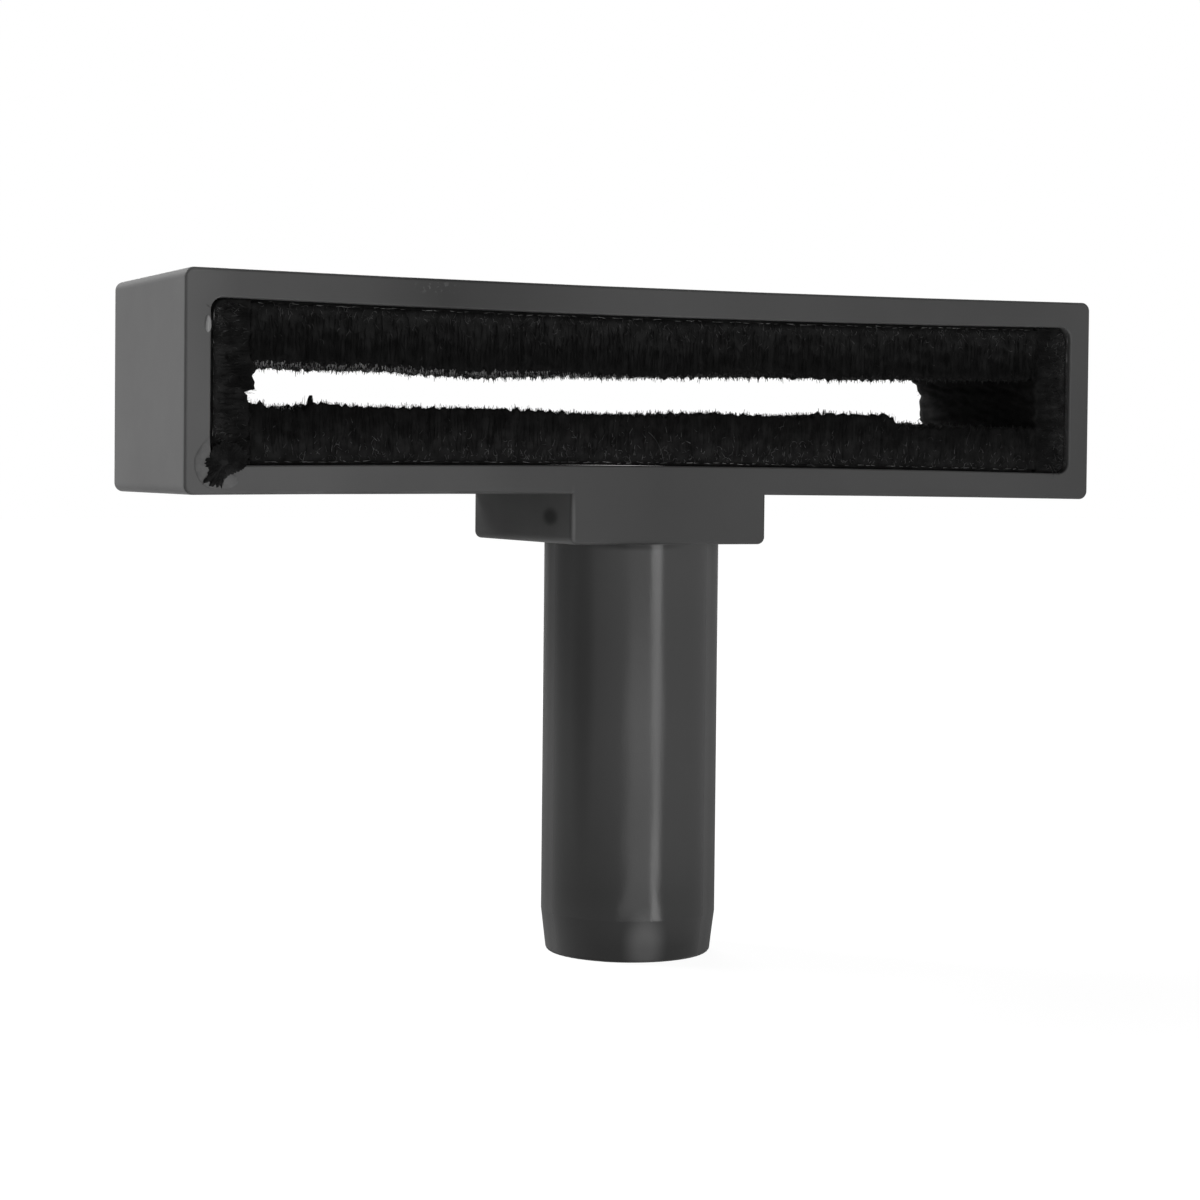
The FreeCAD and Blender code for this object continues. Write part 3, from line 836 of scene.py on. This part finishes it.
# Loose strands, as points in the frame
STRAYS = {
    "brush_bottom": (
        ((-5.0, -18.0, 107.0), (-3.5, -18.3, 105.5), (-2.3, -18.2, 103.5), (-1.4, -17.9, 100.9)),
        ((70.5, -18.0, 109.8), (70.3, -18.3, 108.1), (69.6, -18.2, 106.4), (70.1, -17.9, 105.2)),
        ((58.0, -17.2, 110.2), (59.2, -17.3, 112.2), (58.4, -17.4, 113.0), (60.0, -17.5, 113.9)),
    ),
    "brush_top": (),
    "brush_left": (
        ((-96.3, -18.3, 129.3), (-96.0, -18.35, 129.15), (-95.6, -18.3, 128.8)),
    ),
    "brush_right": (
        ((90.4, -18.0, 101.5), (91.0, -18.4, 100.2), (91.3, -18.5, 99.2), (91.2, -18.5, 98.4)),
        ((91.4, -18.0, 101.2), (92.0, -18.4, 99.9), (92.9, -18.5, 99.1)),
    ),
}
STRAY_STEPS = 9

# Numbers of a strip's materials, and the radii of its fibres
PILE, PALE_DUST_PAINTED_HIGHLIGHT, THREAD, CUT_PAINTED_LIGHT = range(4)
LYING_RADIUS = 0.06
REAR_RADIUS = 0.075
CURL_RADIUS = 0.055
ROOT_RADIUS = 0.05
TICK_RADIUS = 0.06
THREAD_RADIUS = 0.09
TIP_RADIUS = 0.13
RAISED_RADIUS = 0.09
STRAY_RADIUS = 0.07
RADIUS_SPREAD = (0.7, 1.3)


def strip_fibres(strip, rng, ragged, counts):
    """All the fibres of a strip, as paths, radius and material number of each kind."""
    lying, tips, curls = counts
    fibres = [
        (lying_fibres(strip, rng, ragged, lying), LYING_RADIUS, PILE),
        (lying_fibres(strip, rng, ragged, lying // 2, at_back=True), REAR_RADIUS, PILE),
        (curled_fibres(strip, rng, curls), CURL_RADIUS, PALE_DUST_PAINTED_HIGHLIGHT),
        (root_fibres(strip, rng), ROOT_RADIUS, PILE),
        (loose_ticks(strip, rng, curls), TICK_RADIUS, PALE_DUST_PAINTED_HIGHLIGHT),
        (binder_threads(strip, rng), THREAD_RADIUS, THREAD),
    ]
    ends = tip_fibres(strip, rng, ragged, tips)
    inner_painted_light = (ends[:, 0, 1] > strip.front + PAINTED_LIGHT_DEPTHS[0]) & (ends[:, 0, 1] < strip.back - PAINTED_LIGHT_DEPTHS[1])
    # tips inside the depth get pale cut ends: painted light on their undersides
    fibres += [(ends[~inner_painted_light], TIP_RADIUS, PILE), (ends[inner_painted_light], TIP_RADIUS, CUT_PAINTED_LIGHT if strip.is_long else PILE)]
    fibres += [(paths, RAISED_RADIUS, PILE) for paths in raised_tufts(strip, rng)]
    fibres += [(curve_through(points, STRAY_STEPS), STRAY_RADIUS, PALE_DUST_PAINTED_HIGHLIGHT) for points in STRAYS[strip.node]]
    return fibres


def make_strip(strip, rng, materials, counts):
    """One brush strip: backing, core and fibres as a piece that stands for its CAD node."""
    lean = TUFT_LEAN if strip.is_long else 0.0
    ragged = waves(rng, count=24, shortest=0.6, longest=3.2, lean=lean)
    streaks = waves(rng, count=10, shortest=1.5, longest=7.0)
    parts = [(*pile_core(strip, ragged, streaks), PILE), (*backing(strip), PILE)]
    fibres = strip_fibres(strip, rng, ragged, counts)
    if strip.node == "brush_left":
        pad, paths = spilled_tuft(rng)
        parts.append((*pad, PILE))
        fibres.append((paths, STRAY_RADIUS, PILE))
    for paths, radius, choice in fibres:
        radii = radius * rng.uniform(*RADIUS_SPREAD, len(paths))
        parts.append((*fibre_mesh(paths, radii), choice))
    points, faces, choices = joined(parts)
    piece = mesh_piece(strip.node.replace("brush", "pile"), points, faces, materials, choices)
    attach(piece, "root")
    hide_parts(strip.node)


# The bead of glue beside the opening: its middle in (x, z), half its width and height, how much it bulges
# upwards, and how far it stands out at its edge and how much more in the middle
BEAD_MIDDLE = (-96.0, 125.7)
BEAD_HALF_WIDTH = 0.62
BEAD_HALF_HEIGHT = 1.6
BEAD_BULGE = 0.12
BEAD_POINTS = 28
BEAD_HEIGHTS = (0.01, 0.4)
# The thin smear round the spilled tuft
SMEAR = (
    (-95.6, 104.9), (-96.4, 104.2), (-97.6, 102.6), (-98.5, 100.9), (-98.5, 99.0), (-97.8, 97.0),
    (-96.6, 95.7), (-95.2, 95.1), (-93.2, 95.1), (-91.3, 95.4), (-89.9, 96.4), (-90.0, 97.4),
    (-91.3, 98.0), (-93.0, 99.0), (-95.0, 100.5), (-95.5, 102.0),
)
SMEAR_MIDDLE = (-95.2, 98.0)
SMEAR_POINTS = 60
SMEAR_HEIGHTS = (0.03, 0.22)


def make_glue_marks(bead_material, smear_material):
    """The bead beside the opening and the thin smear round the spilled tuft."""
    turns = np.linspace(0, 2 * math.pi, BEAD_POINTS, endpoint=False)
    across = BEAD_HALF_WIDTH * np.cos(turns)
    upward = BEAD_HALF_HEIGHT * np.sin(turns) * (1 + BEAD_BULGE * np.sin(turns))
    oval = np.array(BEAD_MIDDLE) + np.stack([across, upward], axis=-1)
    smear = smooth_outline(SMEAR, SMEAR_POINTS)
    marks = (
        ("glue_bead", dome(oval, BEAD_MIDDLE, *BEAD_HEIGHTS), bead_material),
        ("glue_smear", dome(smear, SMEAR_MIDDLE, *SMEAR_HEIGHTS), smear_material),
    )
    for name, (points, faces), material in marks:
        piece = mesh_piece(name, points, faces, [material])
        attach(piece, "root")


PILE_LOOK = {"dark": 0.0028, "light": 0.007, "roughness": 0.85}
shell = make_shell()
pile = make_pile("pile_fibre_painted_shade", **PILE_LOOK)
# pale fibres: dust, and a painted highlight on the curls and ticks
dusty_pile_painted_highlight = make_pile("dusty_fibre_painted_highlight", dark=0.012, light=0.06, roughness=0.7)
thread = make_pile("binder_thread", dark=0.03, light=0.11, roughness=0.7)
# pale cut ends: painted light on the undersides of the tips
cut_ends_painted_light = make_pile("cut_ends_painted_light", dark=0.16, light=0.4, roughness=0.85, fade=CUT_PAINTED_LIGHT_FADE)
side_pile_painted_shade = make_pile("side_pile_painted_shade", **PILE_LOOK, fade=SIDE_PAINTED_SHADE)

for slot in housing.material_slots:
    slot.material = shell

# Node, the axis from its wall to its tips and the sign of that way, and the lying, tip and curled fibres
STRIPS = (
    ("brush_top", 2, -1, (2200, 4100, 300)),
    ("brush_bottom", 2, 1, (2200, 4100, 300)),
    ("brush_left", 0, 1, (600, 1200, 130)),
    ("brush_right", 0, -1, (600, 1200, 130)),
)
FIRST_SEED = 40
for seed, (node, axis, sign, counts) in enumerate(STRIPS, FIRST_SEED):
    strip = Strip(node, axis, sign)
    main = pile if strip.is_long else side_pile_painted_shade
    make_strip(strip, np.random.default_rng(seed), [main, dusty_pile_painted_highlight, thread, cut_ends_painted_light], counts)
make_glue_marks(
    make_glue("glue_bead", dark=0.13, light=0.18),
    make_glue("glue_smear", dark=0.056, light=0.068),
)


# Studio

AMBIENT = 0.1
FLOOR_SIZE = 8.0
FLOOR_DIFFUSE = 0.12
FLOOR_GLOW = 0.95
# Distances from the tube's axis between which the floor's glow rises to that of the background
GLOW_REACH = (0.1, 0.8)


def seen_rays(tree):
    """1 for camera, glossy and transmission rays, which show the white background."""
    path = add_node(tree, "ShaderNodeLightPath")
    mirror = maths(tree, "MAXIMUM", path.outputs["Is Glossy Ray"], path.outputs["Is Transmission Ray"])
    return maths(tree, "MAXIMUM", path.outputs["Is Camera Ray"], mirror)


def make_world():
    """White to the eye and in reflections, and a grey light from all round."""
    world = bpy.data.worlds.new("studio")
    world.use_nodes = True
    tree = world.node_tree
    tree.nodes.clear()
    output = add_node(tree, "ShaderNodeOutputWorld")
    strength = mapped(tree, seen_rays(tree), 0.0, 1.0, AMBIENT, 1.0)
    background = add_node(tree, "ShaderNodeBackground", {"Color": grey(1.0), "Strength": strength})
    tree.links.new(background.outputs[0], output.inputs["Surface"])
    bpy.context.scene.world = world


def make_floor():
    """A wide pale floor under the tube's mouth."""
    half = FLOOR_SIZE / 2 / MM
    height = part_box("housing")[0].z / MM
    corners = ((-half, -half), (half, -half), (half, half), (-half, half))
    points = np.array([(*corner, height) for corner in corners])
    material, tree, output = empty_material("pale_floor")
    place = add_node(tree, "ShaderNodeTexCoord").outputs["Object"]
    away = add_node(tree, "ShaderNodeVectorMath", {0: place}, operation="LENGTH").outputs["Value"]
    level = mapped(tree, away, *GLOW_REACH, FLOOR_GLOW, 1.0)
    glow = add_node(tree, "ShaderNodeEmission", {
        "Color": grey(1.0), "Strength": maths(tree, "MULTIPLY", seen_rays(tree), level),
    })
    paint = add_node(tree, "ShaderNodeBsdfDiffuse", {"Color": grey(FLOOR_DIFFUSE)})
    both = add_node(tree, "ShaderNodeAddShader", {0: glow.outputs[0], 1: paint.outputs[0]})
    tree.links.new(both.outputs[0], output.inputs["Surface"])
    floor = mesh_piece("floor", points, np.array([(0, 1, 2, 3)]), [material])


def direction(azimuth, elevation):
    """A unit vector. Azimuth turns from the front (-Y) towards +X, and elevation is above the floor."""
    turn, lift = math.radians(azimuth), math.radians(elevation)
    return Vector((math.sin(turn) * math.cos(lift), -math.cos(turn) * math.cos(lift), math.sin(lift)))


def make_lamp(name, place, shines, upright, width, height, watts):
    """A soft rectangular lamp that the camera doesn't see. Its height runs along upright."""
    data = bpy.data.lights.new(name, "AREA")
    data.shape = "RECTANGLE"
    data.size = width
    data.size_y = height
    data.energy = watts
    lamp = bpy.data.objects.new(name, data)
    back = -shines.normalized()
    side = upright.cross(back).normalized()
    turn = Matrix((side, back.cross(side), back)).transposed().to_4x4()
    lamp.matrix_world = Matrix.Translation(place) @ turn
    lamp.visible_camera = False
    bpy.context.scene.collection.objects.link(lamp)


UP = Vector((0.0, 0.0, 1.0))
# Standing lamps face a point in the block: azimuth and elevation, distance, width and height, and watts
TARGET = Vector((0.0, 0.0, 0.09))
STANDING = (
    ("left_lamp", -130.0, 36.0, 1.4, 0.6, 0.6, 26.0),
    ("front_lamp", 6.5, 16.0, 1.5, 0.3, 0.55, 2.6),
    ("front_panel", 8.5, 2.3, 1.5, 0.4, 0.3, 4.6),
    ("camera_panel", -12.0, -0.6, 0.9, 0.6, 0.16, 0.16),
    ("back_lamp", 165.0, 35.0, 1.6, 0.6, 0.6, 9.0),
    ("back_panel", 160.0, -3.0, 0.8, 0.8, 0.5, 2.5),
)
# Lamps that lie above the floor and shine upwards: azimuth, distance to the middle, width, length and watts
FLOOR_LIFT = 0.003
LYING = (
    ("near_strip", 6.0, 0.072, 0.01, 0.056, 0.018),
    ("second_strip", 8.0, 0.145, 0.026, 0.09, 0.068),
    ("middle_strip", 10.5, 0.27, 0.045, 0.16, 0.2),
    ("far_strip", 11.0, 0.85, 0.15, 0.9, 3.7),
    ("near_patch", -11.0, 0.095, 0.056, 0.085, 0.052),
    ("middle_patch", -10.0, 0.235, 0.135, 0.21, 0.27),
    ("far_patch", -11.0, 0.62, 0.34, 0.55, 2.6),
)

make_world()
make_floor()
for name, azimuth, elevation, distance, width, height, watts in STANDING:
    away = direction(azimuth, elevation)
    make_lamp(name, TARGET + away * distance, -away, UP, width, height, watts)
for name, azimuth, distance, width, length, watts in LYING:
    away = direction(azimuth, 0.0)
    make_lamp(name, away * distance + UP * FLOOR_LIFT, UP, away, width, length, watts)
make_camera()

bpy.context.scene.view_settings.view_transform = "Standard"
